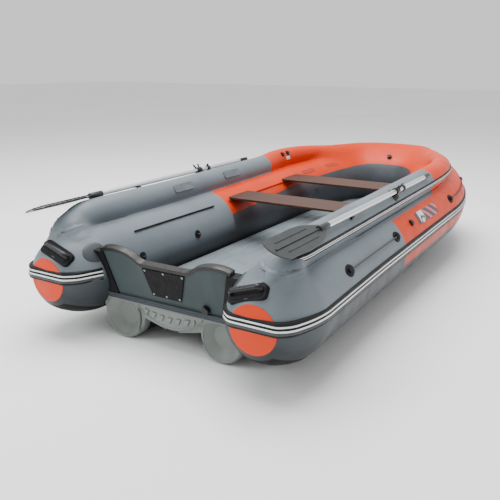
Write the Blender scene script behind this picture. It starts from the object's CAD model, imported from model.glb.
import math

import bpy
import numpy as np
from mathutils import Matrix, Vector


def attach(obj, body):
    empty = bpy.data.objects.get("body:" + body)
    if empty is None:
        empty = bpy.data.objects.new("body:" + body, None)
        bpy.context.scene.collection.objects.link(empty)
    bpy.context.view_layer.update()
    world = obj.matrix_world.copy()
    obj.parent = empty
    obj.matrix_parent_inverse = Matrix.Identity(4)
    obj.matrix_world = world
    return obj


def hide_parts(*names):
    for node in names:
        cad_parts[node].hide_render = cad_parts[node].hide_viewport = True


# Looks of the inflatable dinghy. Metres. Shapes are drawn in the hull's own frame (x from the
# stern discs, z from their centres), as the CAD does, and make() moves them to the row frame.

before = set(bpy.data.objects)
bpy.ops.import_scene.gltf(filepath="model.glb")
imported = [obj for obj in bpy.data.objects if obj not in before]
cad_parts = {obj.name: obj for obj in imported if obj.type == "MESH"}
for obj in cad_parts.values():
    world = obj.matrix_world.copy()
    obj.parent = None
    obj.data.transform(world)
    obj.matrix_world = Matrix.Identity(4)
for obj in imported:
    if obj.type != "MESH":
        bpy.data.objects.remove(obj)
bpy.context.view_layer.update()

HULL = np.array((-2.2185, 0.0, 0.392))      # hull frame to row frame

TUBE_R = 0.281
LINE = [(0, 0.739, 0), (1.17, 0.703, 0.003), (3.407, 0.703, 0.045), (4.167, 0.389, 0.104), (4.167, 0, 0.104)]
BENDS = [13.5, 2.35, 0.505]
DOME_LENGTH = 0.297
DOME_POWER = 1.54
DISC_R = 0.1377
DISC_BULGE = 0.012
SEAM_X = 1.65                               # side chamber meets bow chamber

WALL_LINE = [(0.125, 0.768, 0.222), (0.34, 0.773, 0.325), (1.17, 0.759, 0.327), (2.65, 0.758, 0.352),
             (3.151, 0.801, 0.398), (4.261, 0.354, 0.366), (4.261, 0, 0.366)]
WALL_BENDS = [0.4, 8.0, 2.2, 1.5, 0.44]
WALL_R, WALL_BOW_R = 0.0995, 0.059
WALL_TIP = 0.27                             # length over which the aft tip swells to full size
WALL_TAPER = 2.46                           # distance along the tube where it starts to thin
WALL_SPLIT_X = 2.65                         # grey length meets orange length

FLOOR_TOP = -0.100

# ------------------------------------------------------------------ small tools


def smooth(t):
    t = np.clip(t, 0, 1)
    return t * t * (3 - 2 * t)


def rounded(points, bends, step=0.02):
    """Dense points along straight runs joined by tangent arcs."""
    points = [np.array(p, float) for p in points]
    out = [points[0]]
    for i, bend in enumerate(bends, start=1):
        a, corner, b = points[i - 1], points[i], points[i + 1]
        u = (a - corner) / np.linalg.norm(a - corner)
        v = (b - corner) / np.linalg.norm(b - corner)
        half = math.acos(np.clip(u @ v, -1, 1)) / 2
        reach = bend / math.tan(half)
        middle = corner + (u + v) / np.linalg.norm(u + v) * bend / math.sin(half)
        start, turn = corner + u * reach, math.pi - 2 * half
        first = start - middle
        side = -u
        count = max(4, int(bend * turn / step))
        for k in range(count + 1):
            angle = turn * k / count
            out.append(middle + first * math.cos(angle) + side * bend * math.sin(angle))
    out.append(points[-1])
    return refill(np.array(out), step)


def refill(points, step):
    """The same line with evenly spaced points."""
    gaps = np.linalg.norm(np.diff(points, axis=0), axis=1)
    keep = np.concatenate([[True], gaps > 1e-6])
    points = points[keep]
    s = np.concatenate([[0], np.cumsum(np.linalg.norm(np.diff(points, axis=0), axis=1))])
    even = np.linspace(0, s[-1], int(s[-1] / step) + 1)
    return np.stack([np.interp(even, s, points[:, k]) for k in range(3)], axis=1)


class Tube:
    """A line with its outboard and upward directions and a radius, on the port side."""

    def __init__(self, points, radius):
        self.at = points
        self.s = np.concatenate([[0], np.cumsum(np.linalg.norm(np.diff(points, axis=0), axis=1))])
        ahead = np.gradient(points, axis=0)
        ahead /= np.linalg.norm(ahead, axis=1)[:, None]
        out = np.cross((0, 0, 1), ahead)
        self.out = out / np.linalg.norm(out, axis=1)[:, None]
        self.up = np.cross(ahead, self.out)
        self.ahead = ahead
        self.r = radius(self)

    def s_of_x(self, x):
        return np.interp(x, self.at[:, 0], self.s)

    def place(self, s, angle, lift=0.0):
        """Points on the skin; angle in degrees up from outboard."""
        s, angle, lift = np.broadcast_arrays(s, np.radians(angle), lift)

        def mix(values):
            return np.stack([np.interp(s, self.s, values[:, k]) for k in range(3)], axis=-1)

        reach = (np.interp(s, self.s, self.r) + lift)[..., None]
        normal = mix(self.out) * np.cos(angle)[..., None] + mix(self.up) * np.sin(angle)[..., None]
        return mix(self.at) + normal * reach


def dome_radius(tube):
    q = np.clip(1 - tube.s / DOME_LENGTH, 0, 1)
    dome = DISC_R + (TUBE_R - DISC_R) * (1 - q ** DOME_POWER) ** (1 / DOME_POWER)
    return dome + 0.003 * smooth((tube.s - 2.5) / 1.5)


def wall_radius(tube):
    q = np.clip((tube.at[:, 0] - WALL_LINE[0][0]) / WALL_TIP, 0, 1)
    bow = smooth((tube.s - WALL_TAPER) / (tube.s[-1] - WALL_TAPER))
    return np.sqrt(1 - (1 - q) ** 2) * (WALL_R + (WALL_BOW_R - WALL_R) * bow)


def gap_to(tube, points):
    """Signed distance from points to a tube's skin, and the way out of it."""
    gap = np.empty(len(points))
    way = np.empty((len(points), 3))
    batch = 4000
    for k in range(0, len(points), batch):
        part = points[k:k + batch]
        apart = part[:, None] - tube.at[None]
        reach = np.maximum(np.linalg.norm(apart, axis=2), 1e-6)
        best = np.argmin(reach, axis=1)
        row = np.arange(len(part))
        gap[k:k + batch] = reach[row, best] - tube.r[best]
        way[k:k + batch] = apart[row, best] / reach[row, best, None]
    return gap, way


WELD = 0.018                                # width of the weld along the straight sides
WELD_STERN, WELD_BOW = 0.16, 0.19           # how much wider it gets at either end
WELD_REACH, WELD_DEPTH = 0.28, 0.03         # skin this far outside or inside the other tube moves
WELD_STEP = 0.05                            # furthest a point moves in one round


def fillet(points, own, other):
    """Moves one tube's skin out to a smooth weld with the other tube."""
    flat = points.reshape(-1, 3).copy()
    near = gap_to(other, flat)[0]
    moved = np.flatnonzero((near < WELD_REACH) & (near > -WELD_DEPTH))
    for _ in range(5):
        part = flat[moved]
        a, na = gap_to(own, part)
        b, nb = gap_to(other, part)
        x = part[:, 0]
        stern = (1 - smooth((x - 0.18) / 0.20)) * smooth((x - 0.03) / 0.16)
        inner = smooth((np.interp(x, WALL.at[:, 0], WALL.at[:, 1]) - part[:, 1]) / 0.04)
        bow = smooth((x - 3.3) / 0.5) * inner
        width = WELD + WELD_STERN * stern + WELD_BOW * bow
        h = np.clip(width - np.abs(a - b), 0, None) / width
        value = np.minimum(a, b) - h * h * width / 4
        share = np.clip(0.5 + 0.5 * (b - a) / width, 0, 1)[:, None]
        slope = na * share + nb * (1 - share)
        size = np.maximum(np.sum(slope * slope, axis=1), 0.25)
        flat[moved] = part - slope * np.clip(value / size, -WELD_STEP, WELD_STEP)[:, None]
    return flat.reshape(points.shape)


HALF = Tube(rounded(LINE, BENDS), dome_radius)
WALL = Tube(rounded(WALL_LINE, WALL_BENDS), wall_radius)
PLY = HALF.s_of_x(SEAM_X)
WALL_SPLIT = WALL.s_of_x(WALL_SPLIT_X)


def grid_faces(rows, columns, wrap=False):
    faces = []
    for i in range(rows - 1):
        for j in range(columns if wrap else columns - 1):
            k = (j + 1) % columns
            faces.append((i * columns + j, i * columns + k, (i + 1) * columns + k, (i + 1) * columns + j))
    return faces


def make(name, points, faces, body="hull", stands_for=(), materials=(), picks=None, uv=None, side=1):
    """A mesh piece in place. picks gives each face's material, uv each point's two numbers."""
    points = np.array(points, float).reshape(-1, 3) * (1, side, 1) + HULL
    if side < 0:
        faces = [tuple(reversed(f)) for f in faces]
    mesh = bpy.data.meshes.new(name)
    mesh.from_pydata(points.tolist(), [], faces)
    for material in materials:
        mesh.materials.append(material)
    if picks is not None:
        mesh.polygons.foreach_set("material_index", np.array(picks, np.int32))
    mesh.polygons.foreach_set("use_smooth", np.ones(len(mesh.polygons), bool))
    if uv is not None:
        layer = mesh.uv_layers.new(name="UVMap")
        index = np.zeros(len(mesh.loops), np.int32)
        mesh.loops.foreach_get("vertex_index", index)
        layer.data.foreach_set("uv", np.array(uv, np.float32).reshape(-1, 2)[index].ravel())
    mesh.update()
    piece = bpy.data.objects.new(name, mesh)
    bpy.context.scene.collection.objects.link(piece)
    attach(piece, body)
    if stands_for:
        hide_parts(*stands_for)
    return piece


def sharpen(piece, angle=35):
    """Smooth shading that keeps creases."""
    mesh = piece.data
    mesh.set_sharp_from_angle(angle=math.radians(angle))
    return piece


# ------------------------------------------------------------------ materials
class Nodes:
    """Short hand for building one procedural material."""

    def __init__(self, name, rough=0.5, metal=0.0, coat=0.0, spec=0.5, sheen=0.0):
        self.material = bpy.data.materials.new(name)
        self.material.use_nodes = True
        self.tree = self.material.node_tree
        self.shader = self.tree.nodes["Principled BSDF"]
        self.set("Roughness", rough)
        self.set("Metallic", metal)
        self.set("Coat Weight", coat)
        self.set("Coat Roughness", 0.25)
        self.set("Specular IOR Level", spec)
        self.set("Sheen Weight", sheen)
        self.spot = self.add("ShaderNodeTexCoord").outputs["Object"]
        self.bumps = None

    def set(self, socket, value):
        self.shader.inputs[socket].default_value = value

    def add(self, kind, **values):
        node = self.tree.nodes.new(kind)
        for key, value in values.items():
            if hasattr(node, key):
                setattr(node, key, value)
            else:
                node.inputs[key].default_value = value
        return node

    def link(self, a, b):
        self.tree.links.new(a, b)

    def stretch(self, scale):
        node = self.add("ShaderNodeMapping")
        node.inputs["Scale"].default_value = scale
        self.link(self.spot, node.inputs["Vector"])
        return node.outputs["Vector"]

    def noise(self, scale, detail=4, stretch=None, distortion=0.0):
        node = self.add("ShaderNodeTexNoise", Scale=scale, Detail=detail, Distortion=distortion)
        self.link(self.stretch(stretch) if stretch else self.spot, node.inputs["Vector"])
        return node.outputs["Fac"]

    def ramp(self, value, stops):
        node = self.add("ShaderNodeValToRGB")
        ramp = node.color_ramp
        while len(ramp.elements) < len(stops):
            ramp.elements.new(0.5)
        for element, (place, colour) in zip(ramp.elements, stops):
            element.position = place
            element.color = (*colour, 1) if hasattr(colour, "__len__") else (colour,) * 3 + (1,)
        self.link(value, node.inputs["Fac"])
        return node.outputs["Color"]

    def mix(self, share, a, b, kind="MIX"):
        node = self.add("ShaderNodeMix", data_type="RGBA", blend_type=kind)
        for socket, value in ((node.inputs[0], share), (node.inputs[6], a), (node.inputs[7], b)):
            if hasattr(value, "links"):
                self.link(value, socket)
            elif hasattr(value, "__len__"):
                socket.default_value = (*value, 1)
            else:
                socket.default_value = value
        return node.outputs[2]

    def maths(self, kind, a, b=0.0, c=0.0):
        node = self.add("ShaderNodeMath", operation=kind)
        for socket, value in zip(node.inputs, (a, b, c)):
            if hasattr(value, "links"):
                self.link(value, socket)
            else:
                socket.default_value = value
        return node.outputs[0]

    def bump(self, height, strength, distance):
        node = self.add("ShaderNodeBump", Strength=strength, Distance=distance)
        self.link(height, node.inputs["Height"])
        if self.bumps is not None:
            self.link(self.bumps, node.inputs["Normal"])
        self.bumps = node.outputs["Normal"]
        self.link(self.bumps, self.shader.inputs["Normal"])

    def colour(self, value):
        if hasattr(value, "links"):
            self.link(value, self.shader.inputs["Base Color"])
        else:
            self.set("Base Color", (*value, 1))

    def roughness(self, value):
        self.link(value, self.shader.inputs["Roughness"])


def shade(colour, by):
    return tuple(min(1.0, c * by) for c in colour)


GREY = (0.142, 0.170, 0.190)
ORANGE = (0.62, 0.036, 0.0)
DARK = (0.050, 0.060, 0.068)


def underside(n, base, depth):
    """The darker fabric on the lower half of a tube, by turns round it."""
    uv = n.add("ShaderNodeUVMap")
    parts = n.add("ShaderNodeSeparateXYZ")
    n.link(uv.outputs["UV"], parts.inputs[0])
    turn = n.maths("ABSOLUTE", n.maths("SUBTRACT", parts.outputs[1], 0.25))
    low = n.ramp(turn, [(0.215, 0.0), (0.26, 0.80), (0.34, 1.0)])
    dark = shade(GREY, 0.12) if depth > 0.7 else (0.25, 0.008, 0.0)
    return n.mix(n.maths("MULTIPLY", low, depth), base, dark)


def fabric_relief(n):
    """Lengthwise drag lines, satin patches, soft dents and the weave of coated fabric."""
    n.bump(n.noise(7, 3, stretch=(0.35, 1.6, 1.6), distortion=1.5), 0.22, 0.006)
    n.roughness(n.ramp(n.noise(9, 4), [(0.3, 0.34), (0.7, 0.50)]))
    n.bump(n.noise(2.6, 3, distortion=0.4), 0.35, 0.010)
    n.bump(n.noise(11, 3), 0.18, 0.003)
    n.bump(n.noise(650, 2), 0.22, 0.0003)


def pvc(name, colour, dirt=0.10, tube=False):
    """Coated fabric: faint base cloth, soft handling marks, satin skin."""
    n = Nodes(name, rough=0.42, spec=0.26)
    cloudy = n.noise(2.2, 5)
    base = n.mix(n.ramp(cloudy, [(0.35, 0.0), (0.68, 1.0)]), shade(colour, 1 - dirt), shade(colour, 1 + dirt))
    specks = n.ramp(n.noise(70, 2), [(0.66, 0.0), (0.76, 1.0)])
    base = n.mix(n.maths("MULTIPLY", specks, 0.10), base, shade(colour, 1.5))
    n.colour(underside(n, base, 0.93) if tube else base)
    fabric_relief(n)
    return n.material


def hull_zones():
    """The main tube ahead of the seam: orange topsides, grey underside, dark inner foot."""
    n = Nodes("hull_bow_pvc", rough=0.42, spec=0.26)
    uv = n.add("ShaderNodeUVMap")
    parts = n.add("ShaderNodeSeparateXYZ")
    n.link(uv.outputs["UV"], parts.inputs[0])
    along, turn = parts.outputs[0], parts.outputs[1]
    sag = n.ramp(n.maths("DIVIDE", along, 5.0), [(0.36, 155 / 360), (0.52, 147 / 360), (0.75, 144 / 360)])
    inner = n.maths("GREATER_THAN", turn, sag)
    skirt = n.maths("COMPARE", turn, 0.215, 0.061)
    aft = n.maths("LESS_THAN", along, PLY + WALL_SPLIT_X - SEAM_X)
    outer = n.maths("MAXIMUM", n.maths("LESS_THAN", turn, -17.5 / 360), n.maths("MULTIPLY", skirt, aft))
    cloudy = n.ramp(n.noise(2.2, 5), [(0.35, 0.0), (0.68, 1.0)])
    orange = n.mix(cloudy, shade(ORANGE, 0.93), shade(ORANGE, 1.06))
    grey = n.mix(cloudy, shade(GREY, 0.9), shade(GREY, 1.1))
    dark = n.mix(cloudy, shade(DARK, 0.85), shade(DARK, 1.2))
    n.colour(n.mix(inner, n.mix(outer, underside(n, orange, 0.5), underside(n, grey, 0.93)), dark))
    fabric_relief(n)
    return n.material


def rubber(name, colour, rough=0.55, ribs=None, spec=0.16):
    n = Nodes(name, rough=rough, spec=spec)
    dust = n.ramp(n.noise(14, 5), [(0.4, 0.0), (0.75, 1.0)])
    n.colour(n.mix(n.maths("MULTIPLY", dust, 0.5), colour, shade(colour, 1.6)))
    n.roughness(n.ramp(n.noise(25, 3), [(0.3, rough - 0.08), (0.7, rough + 0.1)]))
    n.bump(n.noise(420, 3), 0.25, 0.0004)
    if ribs:
        wave = n.add("ShaderNodeTexWave", wave_type="BANDS", bands_direction=ribs[0], Scale=ribs[1])
        n.link(n.spot, wave.inputs["Vector"])
        n.bump(wave.outputs["Fac"], 0.7, 0.0015)
    return n.material


def plywood():
    n = Nodes("bench_plywood_film", rough=0.42, spec=0.22)
    grain = n.noise(5, 8, stretch=(14, 1, 14), distortion=1.2)
    fine = n.noise(28, 6, stretch=(22, 1.2, 22))
    base = n.ramp(grain, [(0.30, (0.030, 0.013, 0.008)), (0.52, (0.060, 0.026, 0.015)),
                          (0.75, (0.100, 0.046, 0.027))])
    n.colour(n.mix(n.maths("MULTIPLY", fine, 0.35), base, (0.04, 0.02, 0.014)))
    n.roughness(n.ramp(grain, [(0.3, 0.36), (0.7, 0.5)]))
    n.bump(fine, 0.25, 0.0006)
    return n.material


def aluminium():
    n = Nodes("oar_brushed_aluminium", rough=0.3, metal=1.0)
    lines = n.noise(40, 3, stretch=(0.6, 30, 30))
    n.colour(n.ramp(lines, [(0.3, (0.80, 0.82, 0.85)), (0.7, (0.95, 0.96, 0.97))]))
    n.roughness(n.ramp(lines, [(0.3, 0.24), (0.7, 0.38)]))
    n.bump(lines, 0.12, 0.0003)
    return n.material


def painted(name, colour, rough=0.45):
    """Painted board or moulded plastic with fine orange peel and rubbed edges."""
    n = Nodes(name, rough=rough, spec=0.25)
    cloudy = n.ramp(n.noise(4, 5), [(0.35, 0.0), (0.7, 1.0)])
    scuffs = n.ramp(n.noise(60, 6, stretch=(1, 1, 6)), [(0.62, 0.0), (0.75, 1.0)])
    base = n.mix(cloudy, shade(colour, 0.9), shade(colour, 1.1))
    n.colour(n.mix(n.maths("MULTIPLY", scuffs, 0.12), base, shade(colour, 1.8)))
    n.roughness(n.ramp(n.noise(18, 4), [(0.3, rough - 0.07), (0.7, rough + 0.1)]))
    n.bump(n.noise(260, 3), 0.15, 0.0005)
    return n.material


def steel():
    n = Nodes("screw_steel", rough=0.3, metal=1.0)
    n.colour(n.ramp(n.noise(300, 3), [(0.3, (0.16, 0.16, 0.16)), (0.7, (0.34, 0.34, 0.34))]))
    return n.material


def rope_cloth():
    n = Nodes("grab_line_braid", rough=0.85, sheen=0.2)
    wave = n.add("ShaderNodeTexWave", wave_type="BANDS", bands_direction="DIAGONAL", Scale=90)
    n.link(n.spot, wave.inputs["Vector"])
    n.colour(n.mix(wave.outputs["Fac"], (0.006, 0.006, 0.007), (0.022, 0.022, 0.024)))
    n.bump(wave.outputs["Fac"], 0.9, 0.001)
    return n.material


def label_print():
    """A generic plate: pale rim, dark field, a round blot and slanted bars."""
    n = Nodes("label_plain_shapes", rough=0.35, coat=0.3)
    parts = n.add("ShaderNodeSeparateXYZ")
    n.link(n.spot, parts.inputs[0])
    along = parts.outputs[0]
    blot = n.maths("LESS_THAN", n.maths("ABSOLUTE", n.maths("SUBTRACT", along, -0.085)), 0.055)
    rough_edge = n.ramp(n.noise(16, 4), [(0.46, 0.0), (0.50, 1.0)])
    blot = n.maths("MULTIPLY", blot, rough_edge)
    wave = n.add("ShaderNodeTexWave", wave_type="BANDS", bands_direction="DIAGONAL", Scale=5.0)
    n.link(n.spot, wave.inputs["Vector"])
    bars = n.maths("MULTIPLY", n.ramp(wave.outputs["Fac"], [(0.62, 0.0), (0.66, 1.0)]),
                   n.maths("GREATER_THAN", along, -0.015))
    field = n.mix(n.ramp(n.noise(90, 4), [(0.4, 0.0), (0.7, 1.0)]), (0.012, 0.012, 0.014), (0.022, 0.022, 0.025))
    n.colour(n.mix(blot, n.mix(bars, field, (0.62, 0.10, 0.16)), (0.70, 0.70, 0.70)))
    n.bump(n.noise(300, 2), 0.1, 0.0003)
    return n.material


def tab_cloth():
    """Tabs cut from the colour of the fabric they are glued to."""
    n = Nodes("tab_fabric", rough=0.45)
    parts = n.add("ShaderNodeSeparateXYZ")
    n.link(n.spot, parts.inputs[0])
    fore = n.maths("GREATER_THAN", parts.outputs[0], 0.2)
    worn = n.ramp(n.noise(20, 3), [(0.4, 0.0), (0.7, 1.0)])
    n.colour(n.mix(worn, n.mix(fore, shade(GREY, 0.7), shade(ORANGE, 0.55)),
                   n.mix(fore, GREY, shade(ORANGE, 0.7))))
    n.bump(n.noise(500, 2), 0.2, 0.0003)
    return n.material


MAT = {
    "tube": pvc("grey_tube_fabric", GREY, tube=True),
    "grey": pvc("grey_pvc_fabric", GREY),
    "orange": pvc("orange_pvc_fabric", ORANGE, 0.06),
    "bow": hull_zones(),
    "floor": pvc("airdeck_light_grey", (0.165, 0.195, 0.215)),
    "bottom": pvc("bottom_black_fabric", (0.010, 0.011, 0.012)),
    "black": rubber("black_rubber", (0.006, 0.006, 0.007)),
    "rail_black": rubber("rail_black_rubber", (0.009, 0.010, 0.010), 0.45),
    "rail_white": rubber("rail_white_stripe", (0.74, 0.75, 0.76), 0.5),
    "rail_grey": rubber("rail_grey_rubber", (0.060, 0.064, 0.064), 0.45),
    "plastic": rubber("black_moulded_plastic", (0.008, 0.008, 0.009), 0.34, spec=0.35),
    "pad": rubber("motor_pad_ribbed", (0.005, 0.005, 0.005), 0.5, ribs=("Y", 22)),
    "trim": rubber("transom_edge_rubber", (0.012, 0.012, 0.011), 0.34, spec=0.3),
    "transom": painted("transom_slate_paint", (0.038, 0.054, 0.056), 0.5),
    "fairing": painted("fairing_grey_moulding", (0.185, 0.205, 0.192), 0.38),
    "blade": rubber("oar_blade_plastic", (0.022, 0.026, 0.027), 0.34, spec=0.3),
    "alloy": aluminium(),
    "plywood": plywood(),
    "steel": steel(),
    "rope": rope_cloth(),
    "tab": tab_cloth(),
    "shoulder": pvc("shoulder_patch_fabric", shade(GREY, 0.32)),
    "tag": rubber("plain_white_tag", (0.60, 0.60, 0.60), 0.6),
    "label": label_print(),
}

# ------------------------------------------------------------------ buoyancy tubes


def skin(tube, start, end, around=128, step=0.02):
    """Rings of skin between two places, with uv = metres along and turns round."""
    s = np.linspace(start, end, max(2, int((end - start) / step)))
    angle = np.linspace(-90, 270, around + 1)
    points = tube.place(s[:, None], angle[None, :])
    uv = np.stack(np.broadcast_arrays(s[:, None], angle[None, :] / 360), axis=-1)
    return points, grid_faces(len(s), around + 1), uv


def tube_pieces():
    runs = (("side_tube", HALF, WALL, 0, PLY, 160, "tube", "{}_side_chamber"),
            ("bow_tube", HALF, WALL, PLY, HALF.s[-1], 160, "bow", "bow_chamber"),
            ("wall_tube", WALL, HALF, 0, WALL_SPLIT, 96, "grey", "{}_bulwark"),
            ("bow_wall_tube", WALL, HALF, WALL_SPLIT, WALL.s[-1], 96, "orange", "bow_bulwark"))
    for kind, tube, other, start, end, around, key, node in runs:
        points, faces, uv = skin(tube, start, end, around)
        welded = fillet(points, tube, other)
        for name, side in (("port", 1), ("starboard", -1)):
            shared = "{}" not in node
            make(f"{name}_{kind}", welded, faces,
                 stands_for=[node.format(name)] if side > 0 or not shared else (),
                 materials=[MAT[key]], uv=uv, side=side)


def disc_piece(side, name):
    """Domed orange end patch with a welded rim."""
    rings, around = 14, 96
    at, out, up, ahead = HALF.at[0], HALF.out[0], HALF.up[0], HALF.ahead[0]
    points = [at - ahead * DISC_BULGE]
    for k in range(1, rings + 1):
        t = k / rings
        r = DISC_R * t
        back = DISC_BULGE * (1 - t * t) + (0.0016 if t > 0.80 else 0)
        for j in range(around):
            a = 2 * math.pi * j / around
            points.append(at - ahead * back + (out * math.cos(a) + up * math.sin(a)) * r)
    faces = [(0, 1 + (j + 1) % around, 1 + j) for j in range(around)]
    for k in range(rings - 1):
        for j in range(around):
            a, b = 1 + k * around + j, 1 + k * around + (j + 1) % around
            faces.append((a, b, b + around, a + around))
    make(f"{name}_stern_disc", points, faces, stands_for=["stern_discs"] if side > 0 else (),
         materials=[MAT["orange"]], side=side)


# ------------------------------------------------------------------ fender strips
# Sections in millimetres, (up, out), from the lower edge; picks are 0 black, 1 white, 2 grey.
MAIN_PROFILE = [(-40, -24), (-40, 1), (-38, 4), (-34, 5.5), (-29, 6), (-28, 8), (-22, 10.5), (-13, 9.5), (-12.5, 9.5),
                (-3, 9), (-2.5, 9), (9.5, 9), (10, 9), (19.5, 9.5), (20, 9.5), (27, 12), (33, 11), (38, 6), (40, 0),
                (40, -24)]
MAIN_PICKS = [0, 0, 0, 0, 0, 2, 2, 0, 1, 0, 0, 0, 1, 0, 0, 0, 0, 0, 0]
TOP_PROFILE = [(-20, -12), (-20, 2), (-18, 6), (-12, 8.5), (-9.5, 8), (-9, 8), (-3.8, 8), (-3.3, 8), (1.7, 8),
               (2.2, 8), (7.2, 8), (7.7, 8), (13, 8.5), (18, 6), (20, 2), (20, -12)]
TOP_PICKS = [0, 0, 0, 0, 0, 1, 0, 0, 0, 1, 0, 0, 0, 0, 0]


def ribbon(points, profile, lean):
    """A strip of this section along a line, leaning inboard at its top."""
    ahead = np.gradient(points, axis=0)
    flat = np.cross((0, 0, 1), ahead)
    flat /= np.linalg.norm(flat, axis=1)[:, None]
    lean = math.radians(lean)
    out = flat * math.cos(lean) + np.array((0, 0, 1)) * math.sin(lean)
    up = -flat * math.sin(lean) + np.array((0, 0, 1)) * math.cos(lean)
    section = np.array(profile) / 1000
    grid = points[:, None] + up[:, None] * section[None, :, :1] + out[:, None] * section[None, :, 1:]
    return grid, [tuple(reversed(f)) for f in grid_faces(len(points), len(profile))]


SHOULDER_TURN, STEM_TURN = 22.45, 67.55     # how far the tube's line turns at its two bow corners
RAIL_ANGLE = 7.5                            # the main strip sits this far above the tube's equator
TOP_RAIL_END = (0.205, 0.834, 0.318)        # aft end of the raised tube's strip
TOP_RAIL_JOIN = 0.44                        # from here forward it follows the skin


def offset_side(out, up):
    """Corners of the tube's own line, moved outboard and up."""
    straight, shoulder, stem = LINE[1:4]
    half, quarter = math.radians(SHOULDER_TURN) / 2, math.radians(STEM_TURN) / 2
    return [(straight[0], straight[1] + out, straight[2] + up),
            (shoulder[0] + out * math.tan(half), shoulder[1] + out, shoulder[2] + up),
            (stem[0] + out, stem[1] + out * math.tan(quarter), stem[2] + up), (stem[0] + out, 0, stem[2] + up)]


def rails():
    """Both fender strips: round the stern disc, along the side and round the bow."""
    lean = math.radians(RAIL_ANGLE)
    out, up = TUBE_R * math.cos(lean), TUBE_R * math.sin(lean)
    y = LINE[0][1]
    stern = [(0.205, y - 0.265, 0.031), (0.045, y - 0.203, 0.031), (-0.006, y - 0.140, 0.031),
             (-0.006, y + 0.140, 0.031), (0.040, y + 0.200, 0.032), (0.225, y + 0.268, 0.033)]
    bends = [0.15, 0.06, 0.06, 0.14, 0.7, 4.0, BENDS[1] + out, BENDS[2] + out]
    main = rounded(stern + offset_side(out, up), bends, 0.012)
    side = WALL.place(np.linspace(WALL.s_of_x(TOP_RAIL_JOIN), WALL.s[-1], 230), 0, -0.002)
    ahead = side[0] - np.array(TOP_RAIL_END)
    reach = np.linspace(0, 1, 12, endpoint=False)[:, None]
    bow_out = np.array((0, 0.012, 0)) * np.sin(np.pi * reach)
    top = np.concatenate([side[0] - ahead * (1 - reach) + bow_out, side])
    sets = (("rub_rail", main, MAIN_PROFILE, MAIN_PICKS, RAIL_ANGLE),
            ("bulwark_rail", top, TOP_PROFILE, TOP_PICKS, 0))
    colours = [MAT["rail_black"], MAT["rail_white"], MAT["rail_grey"]]
    for kind, line, profile, picks, lean in sets:
        grid, faces = ribbon(line, profile, lean)
        last = grid[..., 0].size - 1
        ends = [tuple(range(len(profile))), tuple(range(last, last - len(profile), -1))]
        picked = picks * (len(line) - 1) + [0, 0]
        for name, side in (("port", 1), ("starboard", -1)):
            piece = make(f"{name}_{kind}_strip", grid, faces + ends, stands_for=[f"{name}_{kind}"],
                         materials=colours, picks=picked, side=side)
            sharpen(piece, 50)


# ------------------------------------------------------------------ patches on a skin
def patch(name, tube, s, angle, long, wide, material, thick=0.0015, corner=0.3, side=1,
          stands_for=(), steps=(24, 16)):
    """A glued patch that follows the skin: a rounded rectangle of fabric with a soft edge."""
    radius = float(np.interp(s, tube.s, tube.r))
    u = np.linspace(-1, 1, steps[0])
    v = np.linspace(-1, 1, steps[1])
    uu, vv = np.meshgrid(u, v, indexing="ij")
    power = 2 / max(corner, 0.05)
    norm = (np.abs(uu) ** power + np.abs(vv) ** power) ** (1 / power)
    square = np.maximum(np.abs(uu), np.abs(vv))
    pull = np.where(norm > 0, square / np.maximum(norm, 1e-9), 1)
    uu, vv = uu * pull, vv * pull
    lift = thick * (1 - smooth((square - 0.90) / 0.10)) - 0.0006 * smooth((square - 0.97) / 0.03)
    points = tube.place(s + uu * long / 2, angle + np.degrees(vv * wide / 2 / radius), lift)
    faces = grid_faces(*steps)
    return make(name, points, faces, stands_for=stands_for, materials=[material], side=side)


# ------------------------------------------------------------------ floor
def floor_piece():
    """Inflated floor with lengthwise ribs, wedged between the tubes."""
    drop = (HALF.at[:, 2] - FLOOR_TOP) / HALF.r
    angle = 180 + np.degrees(np.arcsin(np.clip(drop, -1, 1)))
    edge = HALF.place(HALF.s, angle)
    keep = (edge[:, 0] > 0.30)
    edge = edge[keep]
    across = np.linspace(-1, 1, 221)
    y = edge[:, 1:2] * across[None]
    pitch, groove = 0.088, 0.007
    rib = groove * (1 - np.abs(np.sin(np.pi * y / pitch)) ** 0.5)
    reach = edge[:, 1:2] * (1 - np.abs(across))[None]
    rim = 0.028 * (1 - np.sqrt(np.clip(1 - (1 - np.clip(reach / 0.035, 0, 1)) ** 2, 0, 1)))
    z = FLOOR_TOP - rib - rim
    x = np.broadcast_to(edge[:, 0:1], y.shape)
    points = np.stack([x, y, z], axis=-1)
    make("airdeck_ribbed_top", points, [tuple(reversed(f)) for f in grid_faces(*y.shape)],
         stands_for=["airdeck_floor"], materials=[MAT["floor"]])


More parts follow.
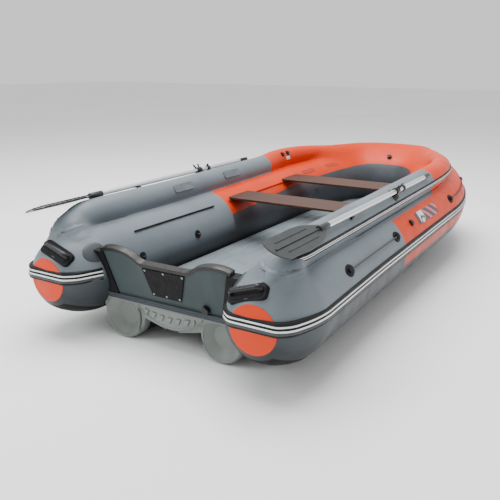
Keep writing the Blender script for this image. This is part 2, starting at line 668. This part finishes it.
# ------------------------------------------------------------------ stern fairing
def fairing():
    """Moulded stern face: two dished lobe ends, a crescent panel and a plain raised relief."""
    y = np.linspace(-0.535, 0.535, 429)
    lobe_y, lobe_z, lobe_r = 0.365, -0.240, 0.152
    side = np.abs(y)
    lobe = lobe_z - np.sqrt(np.clip(lobe_r ** 2 - (side - lobe_y) ** 2, 0, None))
    middle = -0.288 + 0.042 * np.clip(side / 0.20, 0, 1) ** 1.3 + 0.010 * (side < 0.045)
    low = np.where(side < lobe_y - lobe_r, middle, np.minimum(lobe, np.where(side < lobe_y, middle, 0)))
    low = np.where(side > lobe_y + lobe_r - 0.012, np.interp(side, (0.505, 0.535), (-0.300, -0.124)), low)
    t = np.linspace(0, 1, 121)[:, None]
    top = -0.124
    z = top + (low - top)[None] * t
    yy = np.broadcast_to(y[None], z.shape)
    reach = np.hypot(np.abs(yy) - lobe_y, z - lobe_z)
    dish = 0.046 * np.clip((0.132 - reach) / 0.060, 0, 1) - 0.007 * smooth(1 - np.abs(reach - 0.138) / 0.014)
    upper = smooth((z + 0.165) / 0.02)
    dish = dish * (1 - upper)
    rim = -0.152 - 0.098 * (1 - (np.abs(yy) / 0.245) ** 2)
    inside = np.abs(yy) < 0.245
    ridge = np.where(inside, -0.009 * smooth(1 - np.abs(z - rim) / 0.011), 0)
    below = np.where(inside, 0.020 * smooth((rim - z) / 0.03), 0)
    slant = (yy + 0.45 * (z + 0.19)) / 0.062
    band = np.abs(z + 0.178 + 0.02 * np.cos(9 * yy)) < 0.017
    bars = (np.abs(slant - np.round(slant)) < 0.27) & (np.abs(yy) < 0.19) & band
    relief = np.where(bars, -0.009, 0)
    soft = 0.014 * (1 - np.sqrt(np.clip(1 - (1 - np.clip((z - low[None]) / 0.016, 0, 1)) ** 2, 0, 1)))
    x = 0.262 + dish + ridge + below + relief + soft
    front = np.stack([x, yy, z], axis=-1)
    back = np.stack([np.full_like(y, 0.336), y, low], axis=-1)[None]
    cap = np.stack([np.full_like(y, 0.336), y, np.full_like(y, top)], axis=-1)[None]
    points = np.concatenate([cap, front, back])
    piece = make("stern_fairing_moulding", points, [tuple(reversed(f)) for f in grid_faces(len(t) + 2, len(y))],
                 stands_for=["stern_fairing"], materials=[MAT["fairing"]])
    sharpen(piece, 42)


def flange():
    """Fabric flange that welds the board to the bottom, with its stitched lines."""
    y = np.linspace(-0.47, 0.47, 60)
    profile = [(0.276, -0.132), (0.247, -0.130), (0.245, -0.124), (0.2475, -0.122), (0.2445, -0.117), (0.243, -0.111),
               (0.2455, -0.109), (0.2425, -0.104), (0.2405, -0.098), (0.243, -0.096), (0.262, -0.094)]
    points = np.array([[(x, k, z) for x, z in profile] for k in y])
    piece = make("transom_bottom_flange", points, grid_faces(len(y), len(profile)),
                 materials=[MAT["shoulder"]])
    sharpen(piece, 40)


# ------------------------------------------------------------------ stern handles
def handle_frame():
    """Origin and axes of the handle's foot plate: across, fore and out."""
    turn, lean, reach = math.radians(108), math.radians(44), 0.038
    q = 1 - reach / DOME_LENGTH
    radius = DISC_R + (TUBE_R - DISC_R) * (1 - q ** DOME_POWER) ** (1 / DOME_POWER)
    at, out, up, ahead = HALF.at[0], HALF.out[0], HALF.up[0], HALF.ahead[0]
    radial = out * math.cos(turn) + up * math.sin(turn)
    across = up * math.cos(turn) - out * math.sin(turn)
    normal = radial * math.cos(lean) - ahead * math.sin(lean)
    return at + ahead * reach + radial * radius, across, np.cross(normal, across), normal


def pipe(line, wide, tall, around=20):
    """A rounded bar along a line in the handle's plane."""
    ahead = np.gradient(line, axis=0)
    ahead /= np.linalg.norm(ahead, axis=1)[:, None]
    flat = np.broadcast_to((0.0, 1.0, 0.0), line.shape)
    up = np.cross(ahead, flat)
    angle = np.linspace(0, 2 * np.pi, around, endpoint=False)
    return line[:, None] + flat[:, None] * (np.cos(angle) * wide)[None, :, None] \
        + up[:, None] * (np.sin(angle) * tall)[None, :, None]


def handles():
    origin, across, fore, out = handle_frame()
    line = rounded([(-0.094, 0.006, -0.004), (-0.090, 0.008, 0.032), (0.090, 0.008, 0.032),
                    (0.094, 0.006, -0.004)], [0.020, 0.020], 0.004)
    bar = pipe(line, 0.0150, 0.0115)
    u = np.linspace(-1, 1, 41)
    uu, vv = np.meshgrid(u, u[::2], indexing="ij")
    bulge = 0.0100 * np.sqrt(np.clip(1 - np.maximum(np.abs(uu), np.abs(vv)) ** 6, 0, 1)) - 0.004
    well = np.stack([uu * 0.104, vv * 0.033, bulge], axis=-1)
    for name, side in (("port", 1), ("starboard", -1)):
        for kind, local, faces, key in (
                ("handle_bar", bar, grid_faces(len(line), 20, wrap=True), "plastic"),
                ("handle_well", well, grid_faces(*uu.shape), "black")):
            points = origin + local[..., :1] * across + local[..., 1:2] * fore + local[..., 2:] * out
            make(f"{name}_{kind}", points, faces, materials=[MAT[key]], side=side,
                 stands_for=["stern_handle_grips"] if side > 0 and kind == "handle_bar" else ())


def patches():
    """Glued fabric details: shoulder patches at the board, line pads, a loop and a plain tag."""
    for name, side in (("port", 1), ("starboard", -1)):
        patch(f"{name}_shoulder_patch", HALF, 0.205, 142, 0.150, 0.135, MAT["shoulder"], thick=0.004,
              corner=1, side=side)
        patch(f"{name}_wear_strip", HALF, 0.190, -90, 0.350, 0.370, MAT["black"], thick=0.004,
              corner=0.25, side=side, stands_for=["stern_wear_strips"] if side > 0 else ())
        for k, x in enumerate((0.710, 1.550, 2.900)):
            patch(f"{name}_line_patch_{k}", HALF, HALF.s_of_x(x), 33, 0.110, 0.078, MAT["black"], thick=0.004,
                  corner=1, side=side)
    patch("port_valve_tag", WALL, WALL.s_of_x(3.02), 170, 0.070, 0.034, MAT["tag"], side=1)


# ------------------------------------------------------------------ CAD pieces that stay
def dress(node, material, bevel=0.0, segments=2):
    """A better material, and where it helps a rounded edge, on a CAD node."""
    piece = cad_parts[node]
    piece.data.materials.clear()
    piece.data.materials.append(material)
    if bevel:
        weld = piece.modifiers.new("weld", "WELD")
        weld.merge_threshold = 0.00002
        edge = piece.modifiers.new("edge", "BEVEL")
        edge.width = bevel
        edge.segments = segments
        edge.limit_method = "ANGLE"
        edge.angle_limit = math.radians(40)
        edge.harden_normals = False


def dress_all():
    for name in ("port", "starboard"):
        dress(f"{name}_hull_lobe", MAT["bottom"])
        dress(f"{name}_oar_shaft", MAT["alloy"])
        dress(f"{name}_oar_grip", MAT["plastic"])
        dress(f"{name}_oar_collar", MAT["plastic"], 0.0012)
        dress(f"{name}_oar_blade", MAT["blade"], 0.0015)
        dress(f"{name}_oarlock_base", MAT["plastic"], 0.0015)
        dress(f"{name}_oarlock_swivel", MAT["plastic"], 0.0015)
    for node, key, bevel in (
            ("tunnel_roof", "bottom", 0), ("transom_board", "transom", 0.002),
            ("transom_top_trim", "trim", 0.003), ("transom_side_holders", "black", 0.003),
            ("motor_pad_outer", "pad", 0.001), ("motor_pad_inner", "pad", 0.001), ("motor_pad_screws", "steel", 0),
            ("drain_valve_body", "plastic", 0.001), ("drain_valve_flap", "plastic", 0.001),
            ("stern_handle_bases", "black", 0.004),
            ("stern_wear_strips", "black", 0), ("aft_seat_tracks", "black", 0), ("fore_seat_tracks", "orange", 0),
            ("aft_bench_board", "plywood", 0), ("fore_bench_board", "plywood", 0),
            ("aft_bench_sliders", "plastic", 0.0008), ("fore_bench_sliders", "plastic", 0.0008),
            ("oar_clips", "plastic", 0.001), ("valve_bodies", "plastic", 0.001), ("bow_valve_cap", "plastic", 0.001),
            ("port_aft_valve_cap", "plastic", 0.001), ("port_fore_valve_cap", "plastic", 0.001),
            ("starboard_valve_cap", "plastic", 0.001), ("tie_down_eyes", "plastic", 0.001),
            ("grab_line_pads", "black", 0.001), ("bow_tow_eye", "black", 0.001), ("side_labels", "label", 0),
            ("stowage_tabs", "tab", 0.001)):
        dress(node, MAT[key], bevel)


# ------------------------------------------------------------------ grab lines
# Each route has the points that the CAD gives it.
STERN_ROPE = [(0.712, 0.9594, 0.1592), (1.548, 0.9454, 0.1674)]
BOW_ROPE = [(2.902, 0.9454, 0.1929), (3.042, 0.9446, 0.1965), (3.180, 0.9360, 0.2001), (3.316, 0.9195, 0.2046),
            (3.450, 0.8955, 0.2096), (3.582, 0.8655, 0.2156), (3.745, 0.817, 0.224)]
ROPE_D = 0.010


def grab_line(name, route, side):
    curve = bpy.data.curves.new(name, "CURVE")
    curve.dimensions = "3D"
    spline = curve.splines.new("NURBS")
    spline.points.add(len(route) - 1)
    for point, spot in zip(spline.points, route):
        x, y, z = np.array(spot) * (1, side, 1) + HULL
        point.co = (x, y, z, 1)
    spline.order_u = min(3, len(route))
    spline.use_endpoint_u = True
    curve.bevel_depth = ROPE_D / 2
    curve.bevel_resolution = 6
    curve.materials.append(MAT["rope"])
    piece = bpy.data.objects.new(name, curve)
    bpy.context.scene.collection.objects.link(piece)
    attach(piece, "hull")
    return piece


def ropes():
    for name, side in (("port", 1), ("starboard", -1)):
        for kind, route in (("stern", STERN_ROPE), ("bow", BOW_ROPE)):
            piece = grab_line(f"{name}_{kind}_rope", route, side)
            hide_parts(f"{name}_{kind}_grab_line")


# ------------------------------------------------------------------ studio
def studio():
    bpy.ops.mesh.primitive_plane_add(size=80, location=(0, 0, 0))
    ground = bpy.context.object
    ground.name = "studio_floor"
    n = Nodes("studio_white", rough=0.9)
    n.colour(n.ramp(n.noise(0.5, 2), [(0.3, 0.86), (0.7, 0.90)]))
    ground.data.materials.append(n.material)
    world = bpy.data.worlds.new("studio")
    bpy.context.scene.world = world
    world.use_nodes = True
    back = world.node_tree.nodes["Background"]
    back.inputs["Color"].default_value = (1, 1, 1, 1)
    back.inputs["Strength"].default_value = 0.95
    for name, spot, size, power, tint in (
            ("key", (0.0, 1.0, 7.5), 7.0, 1150, (1, 1, 1)),
            ("edge", (-5.5, 4.0, 4.0), 3.0, 160, (0.95, 0.98, 1))):
        light = bpy.data.lights.new(name, "AREA")
        light.energy = power
        light.size = size
        light.color = tint
        lamp = bpy.data.objects.new(name, light)
        bpy.context.scene.collection.objects.link(lamp)
        lamp.location = spot
        lamp.rotation_euler = (Vector((0, 0, 0.4)) - Vector(spot)).to_track_quat("-Z", "Y").to_euler()


CAMERA_SPOT = (-2.5662, -2.2843, 1.2911)
YAW, PITCH, ROLL = 0.5471, 0.283, 0.0035    # radians
LENS, SENSOR = 46.43, 36                    # millimetres


def camera():
    data = bpy.data.cameras.new("camera")
    data.sensor_width = SENSOR
    data.lens = LENS
    data.clip_end = 200
    eye = bpy.data.objects.new("camera", data)
    bpy.context.scene.collection.objects.link(eye)
    eye.location = Vector(CAMERA_SPOT) + Vector(HULL)
    ahead = Vector((math.cos(YAW) * math.cos(PITCH), math.sin(YAW) * math.cos(PITCH), -math.sin(PITCH)))
    right = Vector((math.sin(YAW), -math.cos(YAW), 0))
    top = right.cross(ahead)
    turned = right * math.cos(ROLL) + top * math.sin(ROLL)
    raised = top * math.cos(ROLL) - right * math.sin(ROLL)
    eye.rotation_euler = Matrix((turned, raised, -ahead)).transposed().to_euler()
    bpy.context.scene.camera = eye


tube_pieces()
for label, way in (("port", 1), ("starboard", -1)):
    disc_piece(way, label)
rails()
floor_piece()
fairing()
flange()
handles()
patches()
dress_all()
ropes()
studio()
camera()
